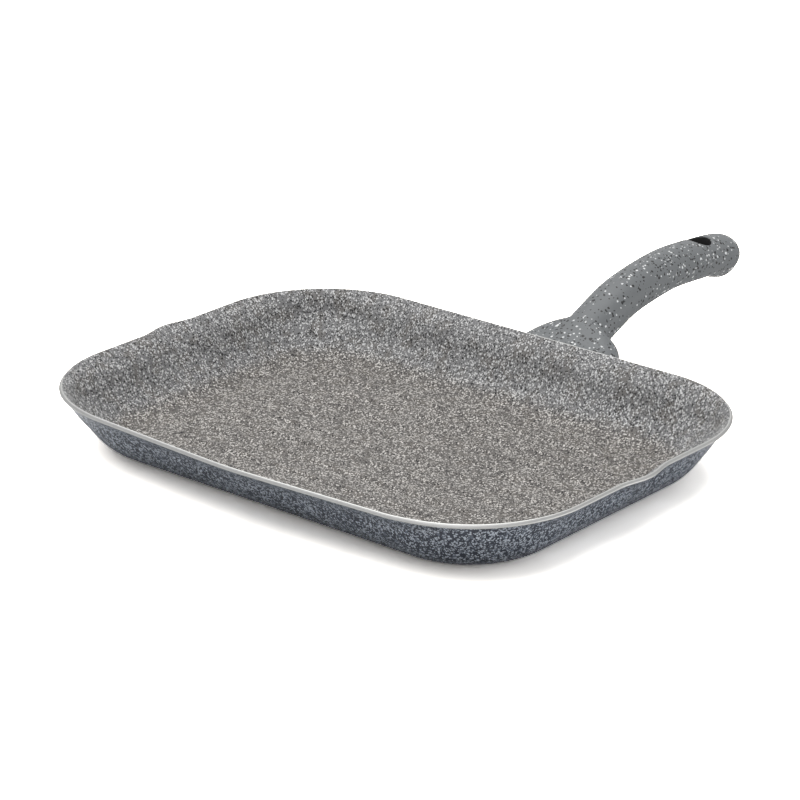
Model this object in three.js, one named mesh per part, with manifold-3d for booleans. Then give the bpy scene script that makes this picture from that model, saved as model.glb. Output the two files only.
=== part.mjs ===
// Rectangular grill pan: a body pressed from one sheet, and a moulded handle held on it by a
// stamped bracket, two weld studs and one screw.
// Millimetres. X runs along the long sides, Y towards the handle, Z up from the underside of the base.
import * as THREE from 'three';
import { LoftGeometry } from 'three/addons/geometries/LoftGeometry.js';
import { mergeVertices } from 'three/addons/utils/BufferGeometryUtils.js';
import Module from 'manifold-3d';

const wasm = await Module();
wasm.setup();

// Pan: outside of the rim, and the sheet
const RIM_LENGTH = 360;
const RIM_WIDTH = 268;
const CORNER_RADIUS = 76;
const PAN_HEIGHT = 38.8;
const SHEET = 2.5;

// Pan wall, on its inner face: the inset from the rim's outside and the drop below the rim where it is
// steepest, its angles to the level, and how far each bend draws the curve
const LIP_ANGLE = 36;
const LIP_BEND = 9;
const WALL_INSET = 14.6;
const WALL_DROP = 14.8;
const WALL_ANGLE = 67;
const WAIST_BEND = 6.5;
const FOOT_BEND = 6.5;
const HEEL_BEND = 16;
const FLOOR_INSET = 42;

// Corners, where the wall is drawn fuller than along the sides
const CORNER_SWELL = 3.7;
const SWELL_DEPTH = 24; // below the rim, where the corners are plain again

// Pouring points: a spout in each short side, and a wide shallow point in the front long side
const SPOUT_WIDTH = 46;
const SPOUT_REACH = 3.6;
const FRONT_POINT_WIDTH = 240;
const FRONT_POINT_REACH = 7.2;
const FRONT_POINT_ROUND = 12; // of its nose
const POUR_DEPTH = 31.8; // below the rim, where the wall is plain again

// Ribs on the floor
const RIB_COUNT = 9;
const RIB_PITCH = 18.75;
const RIB_LENGTH = 236;
const RIB_WIDTH = 6.5;
const RIB_HEIGHT = 1.3;

// Handle: sections, and the axis as reach beyond the far rim and rise above the rim's top
const BOLSTER_WIDTH = 74.4;
const BOLSTER_HEIGHT = 18.6;
const BOLSTER_DROP = 17.8; // its axis below the rim's top, at the wall
const DOME_START = 23.8; // reach at which the bolster begins to round in
const DOME_END = 51.4; // reach at which its round would close, inside the grip
const DOME_POWER = 2.5; // 2 is an ellipse, more is squarer
const NECK_POWER = 5; // how sharply the bolster flows into the grip
const DEEPEN_START = 10; // reach between which the bolster's height becomes the grip's
const DEEPEN_END = 51.6;
const GRIP_WIDTH = 29.2;
const GRIP_HEIGHT = 26.5;
const GRIP_AXIS = [
  [30, -21.5],
  [57, -10.3],
  [83, -0.1],
  [106, 4.3],
  [132, 6.8],
  [152, 6.1],
  [172, 4.4],
  [192, 1.2],
];
const TIP_REACH = 200.8;
const TIP_RISE = -4.6;
const TIP_LENGTH = 12; // rounded end
const HEEL_LENGTH = 30; // swell under the rounded end
const HEEL_SWELL = 1.8;
const HANG_REACH = 167.5;
const HANG_DIAMETER = 17;

// Bracket: plate on the outer wall and tongue in the handle
const PLATE_DROP = 18.3; // middle of the plate, below the rim
const BRACKET_SHEET = 2.5;
const PLATE_WIDTH = 40;
const PLATE_HEIGHT = 10;
const TONGUE_DROP = 20.8; // middle of the tongue, below the rim
const TONGUE_WIDTH = 16;
const TONGUE_THICKNESS = 3;
const TONGUE_REACH = 42; // beyond the far rim

// Weld studs
const STUD_SPACING = 28;
const STUD_DIAMETER = 5;
const STUD_HEAD_DIAMETER = 8;
const STUD_HEAD_HEIGHT = 2.2;

// Screw, washer and nut
const SCREW_REACH = 28; // beyond the far rim
const SCREW_DIAMETER = 4;
const SCREW_HEAD_DIAMETER = 7.5;
const SCREW_HEAD_HEIGHT = 2.8;
const SCREW_END = 1.5; // thread that stands above the nut
const WASHER_DIAMETER = 9;
const WASHER_THICKNESS = 1;
const NUT_WIDTH = 8;
const NUT_HEIGHT = 3.4;
const SCREW_FLOOR = 3; // handle between the socket and the washer's seat

const GAP = 0.3; // between pieces that rest on each other, and round what passes through

// How finely round stretches are divided
const CORNER_STEPS = 7;
const LONG_SIDE_STEPS = 8;
const SHORT_SIDE_STEPS = 14;
const WALL_STEPS = 12;
const RIB_STEPS = 12;
const RIB_END_STEPS = 3;
const GRIP_STEPS = 36;
const TIP_STEPS = 5;
const SECTION_STEPS = 24;
const ROUND_STEPS = 20;

const FAR_RIM = RIM_WIDTH / 2;
const CORNER_X = RIM_LENGTH / 2 - CORNER_RADIUS; // middle of a corner's round
const CORNER_Y = RIM_WIDTH / 2 - CORNER_RADIUS;
const FLOOR_DROP = PAN_HEIGHT - SHEET;
const RIM_INSET = SHEET * Math.sin(THREE.MathUtils.degToRad(LIP_ANGLE)); // the lip's edge is cut square
const TONGUE_RISE = PAN_HEIGHT - TONGUE_DROP;
const PLATE_INNER = SHEET + GAP; // the plate's faces, from the inner face of the wall
const PLATE_OUTER = PLATE_INNER + BRACKET_SHEET;
const PLATE_MIDDLE = (PLATE_INNER + PLATE_OUTER) / 2;
const PLATE_TOP_DROP = PLATE_DROP - PLATE_HEIGHT / 2;
const PLATE_BOTTOM_DROP = PLATE_DROP + PLATE_HEIGHT / 2;
const PAST = 10; // how far a cut runs beyond what it cuts

const COATED = new THREE.MeshStandardMaterial({ color: 0x8b8987, roughness: 0.6, metalness: 0.1 });
const LACQUERED = new THREE.MeshStandardMaterial({ color: 0x7f8284, roughness: 0.5, metalness: 0 });
const STEEL = new THREE.MeshStandardMaterial({ color: 0xb4b6b8, roughness: 0.35, metalness: 1 });

// A closed geometry as a solid that can be joined and cut.
function solidOf(geometry) {
  const bare = new THREE.BufferGeometry();
  bare.setAttribute('position', geometry.getAttribute('position'));
  bare.setIndex(geometry.getIndex());
  const merged = mergeVertices(bare);
  const corners = merged.getIndex().array;
  const kept = [];
  for (let k = 0; k < corners.length; k += 3) {
    const [a, b, c] = corners.slice(k, k + 3);
    if (a !== b && b !== c && c !== a) {
      kept.push(a, b, c);
    }
  }
  return new wasm.Manifold(new wasm.Mesh({
    numProp: 3,
    vertProperties: merged.getAttribute('position').array,
    triVerts: Uint32Array.from(kept),
  }));
}

function meshOf(name, solid, material) {
  const result = solid.getMesh();
  const geometry = new THREE.BufferGeometry();
  geometry.setAttribute('position', new THREE.BufferAttribute(result.vertProperties, 3));
  geometry.setIndex(new THREE.BufferAttribute(result.triVerts, 1));
  geometry.computeVertexNormals();
  const mesh = new THREE.Mesh(geometry, material);
  mesh.name = name;
  return mesh;
}

// An outline of (y, z) points drawn out along X, centred on x = 0.
function bandAlongX(points, width) {
  const geometry = new THREE.ExtrudeGeometry(new THREE.Shape(points), { depth: width, bevelEnabled: false });
  const turn = new THREE.Matrix4().makeBasis(
    new THREE.Vector3(0, 1, 0),
    new THREE.Vector3(0, 0, 1),
    new THREE.Vector3(1, 0, 0),
  );
  geometry.applyMatrix4(turn);
  geometry.translate(-width / 2, 0, 0);
  return solidOf(geometry);
}

function boxBetween(low, high) {
  const geometry = new THREE.BoxGeometry(high[0] - low[0], high[1] - low[1], high[2] - low[2]);
  geometry.translate((low[0] + high[0]) / 2, (low[1] + high[1]) / 2, (low[2] + high[2]) / 2);
  return solidOf(geometry);
}

function uprightCylinder(diameter, y, bottom, top) {
  const geometry = new THREE.CylinderGeometry(diameter / 2, diameter / 2, top - bottom, ROUND_STEPS);
  geometry.rotateX(Math.PI / 2);
  geometry.translate(0, y, (bottom + top) / 2);
  return solidOf(geometry);
}

function slope(angle, length) {
  const radians = THREE.MathUtils.degToRad(angle);
  return new THREE.Vector2(length * Math.cos(radians), length * Math.sin(radians));
}

// Inner face of the wall as (inset, drop): the flared lip bends into the wall, and the wall into the floor.
function panWall() {
  const rim = new THREE.Vector2(RIM_INSET, 0);
  const steepest = new THREE.Vector2(WALL_INSET, WALL_DROP);
  const floor = new THREE.Vector2(FLOOR_INSET, FLOOR_DROP);
  const wall = new THREE.CurvePath();
  wall.add(new THREE.CubicBezierCurve(
    rim,
    rim.clone().add(slope(LIP_ANGLE, LIP_BEND)),
    steepest.clone().sub(slope(WALL_ANGLE, WAIST_BEND)),
    steepest,
  ));
  wall.add(new THREE.CubicBezierCurve(
    steepest,
    steepest.clone().add(slope(WALL_ANGLE, FOOT_BEND)),
    floor.clone().sub(slope(0, HEEL_BEND)),
    floor,
  ));
  return wall;
}

const wallCurve = panWall();
const WALL_SHARES = Array.from({ length: WALL_STEPS + 1 }, (_, step) => step / WALL_STEPS);

// The wall's (inset, drop) at a share of its curve, moved outwards through the sheet by an offset.
function wallPoint(share, offset) {
  const along = wallCurve.getTangent(share);
  return wallCurve.getPoint(share).add(new THREE.Vector2(-along.y, along.x).multiplyScalar(offset));
}

// The share of the wall's curve at which the bracket's plate, lying on it, has come down to a drop.
function shareAtDrop(drop) {
  let low = 0;
  let high = 1;
  while (high - low > 1e-6) {
    const middle = (low + high) / 2;
    if (wallPoint(middle, PLATE_MIDDLE).y < drop) {
      low = middle;
    } else {
      high = middle;
    }
  }
  return low;
}

// How far the pouring points push the wall out at a place on a ring.
function pourShift(x, y, drop) {
  const fade = 1 - THREE.MathUtils.smoothstep(drop, 0, POUR_DEPTH);
  const shift = new THREE.Vector2();
  if (Math.abs(y) < SPOUT_WIDTH / 2) {
    shift.x = Math.sign(x) * SPOUT_REACH * fade * (1 + Math.cos(2 * Math.PI * y / SPOUT_WIDTH)) / 2;
  }
  if (y < -SPOUT_WIDTH / 2 && Math.abs(x) < FRONT_POINT_WIDTH / 2) {
    const point = 1 - 2 * Math.hypot(x, FRONT_POINT_ROUND) / FRONT_POINT_WIDTH;
    shift.y = -FRONT_POINT_REACH * fade * Math.max(point, 0);
  }
  return shift;
}

// How far the wall swells at a place on a ring, where that is in a corner.
function cornerShift(x, y, drop) {
  const out = new THREE.Vector2(Math.abs(x) - CORNER_X, Math.abs(y) - CORNER_Y);
  if (out.x <= 0 || out.y <= 0 || drop > SWELL_DEPTH) {
    return new THREE.Vector2();
  }
  const round = Math.sin(2 * out.angle()) ** 2;
  const depth = Math.sin(Math.PI * drop / SWELL_DEPTH) ** 2;
  out.setLength(CORNER_SWELL * round * depth);
  return new THREE.Vector2(Math.sign(x) * out.x, Math.sign(y) * out.y);
}

// One level ring of the pan: the rim's outline drawn in by an inset.
function panRing(inset, drop) {
  const radius = CORNER_RADIUS - inset;
  const path = new THREE.Path();
  path.absarc(CORNER_X, CORNER_Y, radius, 0, Math.PI / 2);
  path.absarc(-CORNER_X, CORNER_Y, radius, Math.PI / 2, Math.PI);
  path.absarc(-CORNER_X, -CORNER_Y, radius, Math.PI, 1.5 * Math.PI);
  path.absarc(CORNER_X, -CORNER_Y, radius, 1.5 * Math.PI, 2 * Math.PI);
  path.closePath();
  const steps = [CORNER_STEPS, LONG_SIDE_STEPS, CORNER_STEPS, SHORT_SIDE_STEPS];
  const points = path.curves.flatMap((curve, index) => curve.getPoints(steps[index % 4]).slice(1));
  return points.map((point) => {
    const shift = pourShift(point.x, point.y, drop).add(cornerShift(point.x, point.y, drop));
    return new THREE.Vector3(point.x + shift.x, point.y + shift.y, PAN_HEIGHT - drop);
  });
}

// Rings up one face of the wall, from the floor to the rim.
function wallRings(offset) {
  return WALL_SHARES.toReversed().map((share) => {
    const point = wallPoint(share, offset);
    return panRing(point.x, point.y);
  });
}

function rib(index) {
  const radius = RIB_WIDTH / 2;
  const geometry = new THREE.CapsuleGeometry(radius, RIB_LENGTH - RIB_WIDTH, RIB_END_STEPS, RIB_STEPS);
  geometry.rotateZ(Math.PI / 2);
  geometry.scale(1, 1, RIB_HEIGHT / radius);
  geometry.translate(0, (index - (RIB_COUNT - 1) / 2) * RIB_PITCH, SHEET);
  return solidOf(geometry);
}

// The rim is the sheet's own edge, cut square to the lip.
function panBody() {
  const rim = panRing(RIM_INSET, 0);
  const outside = [...wallRings(SHEET), rim];
  const aboveRim = rim.map((point) => point.clone().setZ(PAN_HEIGHT + PAST));
  const inside = [...wallRings(0), aboveRim];
  const caps = { capStart: true, capEnd: true };
  let pan = solidOf(new LoftGeometry(outside, caps)).subtract(solidOf(new LoftGeometry(inside, caps)));
  for (let index = 0; index < RIB_COUNT; index += 1) {
    pan = pan.add(rib(index));
  }
  return meshOf('pan_body', pan, COATED);
}

// A stretch of the far wall as (y, z) points at an offset from its inner face. Its corners are on the
// pan's own rings.
function farWallLine(from, to, offset) {
  const shares = WALL_SHARES.filter((share) => share > from && share < to);
  return [from, ...shares, to].map((share) => {
    const point = wallPoint(share, offset);
    return new THREE.Vector2(FAR_RIM - point.x, PAN_HEIGHT - point.y);
  });
}

// The layer of space between two offsets from the far wall's inner face.
function farWallLayer(topDrop, bottomDrop, innerOffset, outerOffset, width) {
  const from = shareAtDrop(topDrop);
  const to = shareAtDrop(bottomDrop);
  const inner = farWallLine(from, to, innerOffset);
  const outer = farWallLine(from, to, outerOffset).reverse();
  return bandAlongX([...inner, ...outer], width);
}

const studHeadBottom = PLATE_OUTER + GAP;
const studHeadTop = studHeadBottom + STUD_HEAD_HEIGHT;
const tongueBottom = TONGUE_RISE - TONGUE_THICKNESS / 2;
const tongueTop = TONGUE_RISE + TONGUE_THICKNESS / 2;
const nutBottom = tongueTop + GAP;
const nutTop = nutBottom + NUT_HEIGHT;
const socketBottom = tongueBottom - GAP;
const socketTop = nutTop + SCREW_END + GAP;
const washerSeat = socketBottom - SCREW_FLOOR;
const washerTop = washerSeat - GAP;
const washerBottom = washerTop - WASHER_THICKNESS;
const headTop = washerBottom - GAP;
const screwY = FAR_RIM + SCREW_REACH;
const clearScrew = SCREW_DIAMETER + 2 * GAP;

// The handle's axis in the plane x = 0, from inside the pan's wall out to the tip.
function handleAxis() {
  const stations = [
    [-WALL_INSET - PAST, -BOLSTER_DROP],
    [0, -BOLSTER_DROP],
    ...GRIP_AXIS,
    [TIP_REACH, TIP_RISE],
  ];
  const places = stations.map(([reach, rise]) => new THREE.Vector3(0, FAR_RIM + reach, PAN_HEIGHT + rise));
  return new THREE.CatmullRomCurve3(places, false, 'centripetal');
}

// One section of the handle square to its axis, shrunk by a share near the tip.
function handleSection(axis, share, shrink) {
  const centre = axis.getPointAt(share);
  const along = axis.getTangentAt(share);
  const reach = centre.y - FAR_RIM;
  const domeShare = THREE.MathUtils.clamp((reach - DOME_START) / (DOME_END - DOME_START), 0, 1);
  const domeWidth = BOLSTER_WIDTH * (1 - domeShare ** DOME_POWER) ** (1 / DOME_POWER);
  const deepen = THREE.MathUtils.smoothstep(reach, DEEPEN_START, DEEPEN_END);
  const swell = THREE.MathUtils.smoothstep(reach, TIP_REACH - HEEL_LENGTH, TIP_REACH - TIP_LENGTH);
  const halfWidth = (domeWidth ** NECK_POWER + GRIP_WIDTH ** NECK_POWER) ** (1 / NECK_POWER) / 2 * shrink;
  const halfHeight = THREE.MathUtils.lerp(BOLSTER_HEIGHT, GRIP_HEIGHT, deepen) / 2 * shrink;
  const points = [];
  for (let step = 0; step < SECTION_STEPS; step += 1) {
    const angle = -2 * Math.PI * step / SECTION_STEPS;
    const side = halfWidth * Math.cos(angle);
    const under = Math.sin(angle) < 0 ? HEEL_SWELL * swell * shrink : 0;
    const lift = (halfHeight + under) * Math.sin(angle);
    points.push(new THREE.Vector3(side, centre.y - lift * along.z, centre.z + lift * along.y));
  }
  return points;
}

function handle() {
  const axis = handleAxis();
  const tipShare = TIP_LENGTH / axis.getLength();
  const sections = [];
  for (let step = 0; step < GRIP_STEPS; step += 1) {
    sections.push(handleSection(axis, (1 - tipShare) * step / GRIP_STEPS, 1));
  }
  for (let step = 0; step < TIP_STEPS; step += 1) {
    const angle = Math.PI / 2 * step / TIP_STEPS;
    sections.push(handleSection(axis, 1 - tipShare * (1 - Math.sin(angle)), Math.cos(angle)));
  }
  const moulding = solidOf(new LoftGeometry(sections, { capStart: true, capEnd: true }));

  const seat = bandAlongX([
    ...farWallLine(0, 1, SHEET + GAP),
    new THREE.Vector2(0, -PAST),
    new THREE.Vector2(0, PAN_HEIGHT + PAST),
    new THREE.Vector2(FAR_RIM, PAN_HEIGHT + PAST),
  ], BOLSTER_WIDTH + PAST);
  const pocket = farWallLayer(
    PLATE_TOP_DROP - GAP,
    PLATE_BOTTOM_DROP + GAP,
    0,
    studHeadTop + GAP,
    PLATE_WIDTH + 2 * GAP,
  );
  const halfSocket = TONGUE_WIDTH / 2 + GAP;
  const socket = boxBetween(
    [-halfSocket, FAR_RIM - WALL_INSET - PAST, socketBottom],
    [halfSocket, FAR_RIM + TONGUE_REACH + GAP, socketTop],
  );
  const counterbore = uprightCylinder(WASHER_DIAMETER + 2 * GAP, screwY, -PAST, washerSeat);
  const screwHole = uprightCylinder(clearScrew, screwY, -PAST, TONGUE_RISE);
  const hangCut = GRIP_HEIGHT + PAST; // from the rim's level, up and down
  const hangHole = uprightCylinder(
    HANG_DIAMETER,
    FAR_RIM + HANG_REACH,
    PAN_HEIGHT - hangCut,
    PAN_HEIGHT + hangCut,
  );

  const cuts = [seat, pocket, socket, counterbore, screwHole, hangHole];
  return meshOf('handle', cuts.reduce((left, cut) => left.subtract(cut), moulding), LACQUERED);
}

// A frame on the far wall's outer face behind the plate's middle, whose Y points out of the wall.
const wallShare = shareAtDrop(PLATE_DROP);
const wallFace = wallPoint(wallShare, SHEET);
const wallAlong = wallCurve.getTangent(wallShare);
const wallSeat = new THREE.Group();
wallSeat.position.set(0, FAR_RIM - wallFace.x, PAN_HEIGHT - wallFace.y);
wallSeat.rotation.x = -Math.atan2(wallAlong.x, wallAlong.y);
wallSeat.updateMatrix();

function bracket() {
  const plate = farWallLayer(PLATE_TOP_DROP, PLATE_BOTTOM_DROP, PLATE_INNER, PLATE_OUTER, PLATE_WIDTH);
  const root = wallPoint(shareAtDrop(TONGUE_DROP), PLATE_MIDDLE);
  const tongue = boxBetween(
    [-TONGUE_WIDTH / 2, FAR_RIM - root.x, tongueBottom],
    [TONGUE_WIDTH / 2, FAR_RIM + TONGUE_REACH, tongueTop],
  );
  let stamping = plate.add(tongue).subtract(uprightCylinder(clearScrew, screwY, 0, PAN_HEIGHT));
  for (const side of [-1, 1]) {
    const holeRadius = STUD_DIAMETER / 2 + GAP;
    const hole = new THREE.CylinderGeometry(holeRadius, holeRadius, PAST, ROUND_STEPS);
    hole.translate(side * STUD_SPACING / 2, 0, 0);
    hole.applyMatrix4(wallSeat.matrix);
    stamping = stamping.subtract(solidOf(hole));
  }
  return meshOf('handle_bracket', stamping, STEEL);
}

function turned(name, outline, material) {
  const points = outline.map(([radius, height]) => new THREE.Vector2(radius, height));
  const mesh = new THREE.Mesh(new THREE.LatheGeometry(points, ROUND_STEPS), material);
  mesh.name = name;
  return mesh;
}

function weldStud(name, side) {
  const stud = turned(name, [
    [0, GAP],
    [STUD_DIAMETER / 2, GAP],
    [STUD_DIAMETER / 2, studHeadBottom - SHEET],
    [STUD_HEAD_DIAMETER / 2, studHeadBottom - SHEET],
    [STUD_DIAMETER / 2, studHeadTop - SHEET],
    [0, studHeadTop - SHEET],
  ], STEEL);
  stud.position.x = side * STUD_SPACING / 2;
  return stud;
}

// A frame on the screw's line, whose Y points up from the base's level.
const screwLine = new THREE.Group();
screwLine.position.y = screwY;
screwLine.rotation.x = Math.PI / 2;

function screw() {
  const headBottom = headTop - SCREW_HEAD_HEIGHT;
  return turned('handle_screw', [
    [0, headBottom],
    [SCREW_HEAD_DIAMETER / 2, headBottom],
    [SCREW_HEAD_DIAMETER / 2, headTop],
    [SCREW_DIAMETER / 2, headTop],
    [SCREW_DIAMETER / 2, nutTop + SCREW_END],
    [0, nutTop + SCREW_END],
  ], STEEL);
}

function washer() {
  return turned('handle_washer', [
    [clearScrew / 2, washerBottom],
    [WASHER_DIAMETER / 2, washerBottom],
    [WASHER_DIAMETER / 2, washerTop],
    [clearScrew / 2, washerTop],
    [clearScrew / 2, washerBottom],
  ], STEEL);
}

function nut() {
  const block = boxBetween(
    [-NUT_WIDTH / 2, screwY - NUT_WIDTH / 2, nutBottom],
    [NUT_WIDTH / 2, screwY + NUT_WIDTH / 2, nutTop],
  );
  return meshOf('tongue_nut', block.subtract(uprightCylinder(clearScrew, screwY, 0, PAN_HEIGHT)), STEEL);
}

wallSeat.add(weldStud('weld_stud_left', -1), weldStud('weld_stud_right', 1));
screwLine.add(screw(), washer());

const grillPan = new THREE.Group();
grillPan.add(panBody(), handle(), bracket(), nut(), wallSeat, screwLine);

export default grillPan;
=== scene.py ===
import bisect
import math

import bmesh
import bpy
from mathutils import Matrix, Vector
from mathutils.geometry import interpolate_bezier


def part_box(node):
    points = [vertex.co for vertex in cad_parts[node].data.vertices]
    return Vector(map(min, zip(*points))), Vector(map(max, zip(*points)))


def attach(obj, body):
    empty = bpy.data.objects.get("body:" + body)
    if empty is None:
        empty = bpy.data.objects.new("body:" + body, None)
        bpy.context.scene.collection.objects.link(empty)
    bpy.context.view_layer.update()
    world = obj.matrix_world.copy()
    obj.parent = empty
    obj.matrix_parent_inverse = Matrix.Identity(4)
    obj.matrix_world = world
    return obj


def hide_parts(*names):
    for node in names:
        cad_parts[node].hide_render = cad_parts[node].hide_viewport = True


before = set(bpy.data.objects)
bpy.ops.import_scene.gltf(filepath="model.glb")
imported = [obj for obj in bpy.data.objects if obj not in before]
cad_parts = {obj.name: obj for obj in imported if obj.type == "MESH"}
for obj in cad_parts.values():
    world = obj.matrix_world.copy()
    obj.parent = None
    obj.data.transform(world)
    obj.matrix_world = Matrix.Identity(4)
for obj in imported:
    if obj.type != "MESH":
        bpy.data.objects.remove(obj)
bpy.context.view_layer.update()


# Pan body
# One aluminium blank, drawn into a shallow oblong tray with low ribs and a flared lip, and cut square to
# the sheet at the rim. Stone-effect coat inside, speckled enamel outside, bare metal on the cut edge,
# brighter on its rounded edges as burnish and painted highlight.
MM = 0.001
SHEET = 2.5 * MM
CORNER_RADIUS = 76 * MM
RIM_ROUND = 0.6 * MM
RIM_ROUND_STEPS = 3
LIP_ANGLE = math.radians(36)
LIP_BEND = 9 * MM
WALL_INSET = 14.6 * MM
WALL_DROP = 14.8 * MM
WALL_ANGLE = math.radians(67)
WAIST_BEND = 6.5 * MM
FOOT_BEND = 6.5 * MM
HEEL_BEND = 16 * MM
FLOOR_INSET = 42 * MM
CORNER_SWELL = 3.7 * MM
SWELL_DEPTH = 24 * MM
SPOUT_WIDTH = 46 * MM
SPOUT_REACH = 3.6 * MM
FRONT_POINT_WIDTH = 240 * MM
FRONT_POINT_REACH = 7.2 * MM
FRONT_POINT_ROUND = 12 * MM
POUR_DEPTH = 31.8 * MM
RIB_COUNT = 9
RIB_PITCH = 18.75 * MM
RIB_LENGTH = 236 * MM
RIB_FOOT = 4 * MM
RIB_HEIGHT = 1.3 * MM
FLOOR_PANEL = (240 * MM, 160 * MM)
HALF_SHORT_STEPS = 60
CORNER_STEPS = 40
HALF_LONG_STEPS = 60
LIP_STEPS = 12
FOOT_STEPS = 16
MERGE_DISTANCE = 0.01 * MM
SHARP_ANGLE = math.radians(40)
INSIDE, BARE, OUTSIDE, BURNISHED_HIGHLIGHT = range(4)

pan_low, pan_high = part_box("pan_body")
rim_top = pan_high.z
far_rim = pan_high.y
corner_x = pan_high.x - SPOUT_REACH - CORNER_RADIUS
corner_y = far_rim - CORNER_RADIUS


def slope(angle, length):
    """A step of a length at an angle."""
    return Vector((math.cos(angle), math.sin(angle))) * length


def smooth_rise(value, start, end):
    """A smooth step of a number, from 0 before start to 1 after end."""
    share = min(max((value - start) / (end - start), 0), 1)
    return share * share * (3 - 2 * share)


def wall_line():
    """Inner face of the wall as (inset, drop) from the rim's outside, from the lip down to the floor."""
    rim = Vector((SHEET * math.sin(LIP_ANGLE), 0))
    waist = Vector((WALL_INSET, WALL_DROP))
    floor = Vector((FLOOR_INSET, rim_top - SHEET))
    lip_end = waist - slope(WALL_ANGLE, WAIST_BEND)
    foot_start = waist + slope(WALL_ANGLE, FOOT_BEND)
    lip = interpolate_bezier(rim, rim + slope(LIP_ANGLE, LIP_BEND), lip_end, waist, LIP_STEPS)
    foot = interpolate_bezier(waist, foot_start, floor - slope(0, HEEL_BEND), floor, FOOT_STEPS)
    return lip + foot[1:]


def offset_line(line, distance):
    """The wall's line moved outwards through the sheet."""
    moved = []
    for step, point in enumerate(line):
        along = line[min(step + 1, len(line) - 1)] - line[max(step - 1, 0)]
        along.normalize()
        moved.append(point + Vector((-along.y, along.x)) * distance)
    return moved


def outline_spot(turn, inset, drop):
    """Place on the rounded oblong, drawn in by an inset, for a turn about its middle. The wall is drawn
    fuller in the corners."""
    way = Vector((math.cos(turn), math.sin(turn)))
    quarter = HALF_SHORT_STEPS + CORNER_STEPS + HALF_LONG_STEPS
    step = math.atan2(abs(way.y), abs(way.x)) / (math.pi / 2) * quarter
    past_corner = max(step - HALF_SHORT_STEPS - CORNER_STEPS, 0)
    round_share = min(max((step - HALF_SHORT_STEPS) / CORNER_STEPS, 0), 1)
    spine_x = corner_x * (1 - past_corner / HALF_LONG_STEPS)
    spine_y = corner_y * min(step / HALF_SHORT_STEPS, 1)
    swell = math.sin(math.pi * round_share) * math.sin(math.pi * min(drop / SWELL_DEPTH, 1))
    out = slope(round_share * math.pi / 2, CORNER_RADIUS - inset + CORNER_SWELL * swell ** 2)
    return Vector((math.copysign(spine_x + out.x, way.x), math.copysign(spine_y + out.y, way.y)))


def pour_shift(spot, drop):
    """How far the pouring points push the wall out: a spout in each short side, a wide point in front."""
    fade = 1 - smooth_rise(drop, 0, POUR_DEPTH)
    shift = Vector((0, 0))
    if abs(spot.y) < SPOUT_WIDTH / 2:
        spout = (1 + math.cos(2 * math.pi * spot.y / SPOUT_WIDTH)) / 2
        shift.x = math.copysign(SPOUT_REACH * spout * fade, spot.x)
    elif spot.y < 0 and abs(spot.x) < FRONT_POINT_WIDTH / 2:
        point = 1 - 2 * math.hypot(spot.x, FRONT_POINT_ROUND) / FRONT_POINT_WIDTH
        shift.y = -FRONT_POINT_REACH * max(point, 0) * fade
    return shift


def panel_spot(turn):
    """Place on the edge of the ribbed panel, step for step with the outline around it."""
    way = Vector((math.cos(turn), math.sin(turn)))
    share = math.atan2(abs(way.y), abs(way.x)) / (math.pi / 2)
    quarter = HALF_SHORT_STEPS + CORNER_STEPS + HALF_LONG_STEPS
    side_share = (HALF_SHORT_STEPS + CORNER_STEPS / 2) / quarter
    across = FLOOR_PANEL[0] / 2 * min((1 - share) / (1 - side_share), 1)
    along = FLOOR_PANEL[1] / 2 * min(share / side_share, 1)
    return Vector((math.copysign(across, way.x), math.copysign(along, way.y)))


def rib_rise(x, y):
    """Height of the ribs over the floor: a round-shouldered swell along each rib's line."""
    lane = min(max(round(y / RIB_PITCH), -(RIB_COUNT // 2)), RIB_COUNT // 2)
    past_end = max(abs(x) - RIB_LENGTH / 2 + RIB_FOOT, 0)
    aside = math.hypot(y - lane * RIB_PITCH, past_end)
    return RIB_HEIGHT * (1 + math.cos(math.pi * min(aside / RIB_FOOT, 1))) / 2


def new_verts(made):
    """The vertices that an operator made."""
    return [part for part in made["geom"] if isinstance(part, bmesh.types.BMVert)]


def new_edges(made):
    """The edges that an operator made."""
    return [part for part in made["geom"] if isinstance(part, bmesh.types.BMEdge)]


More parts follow.
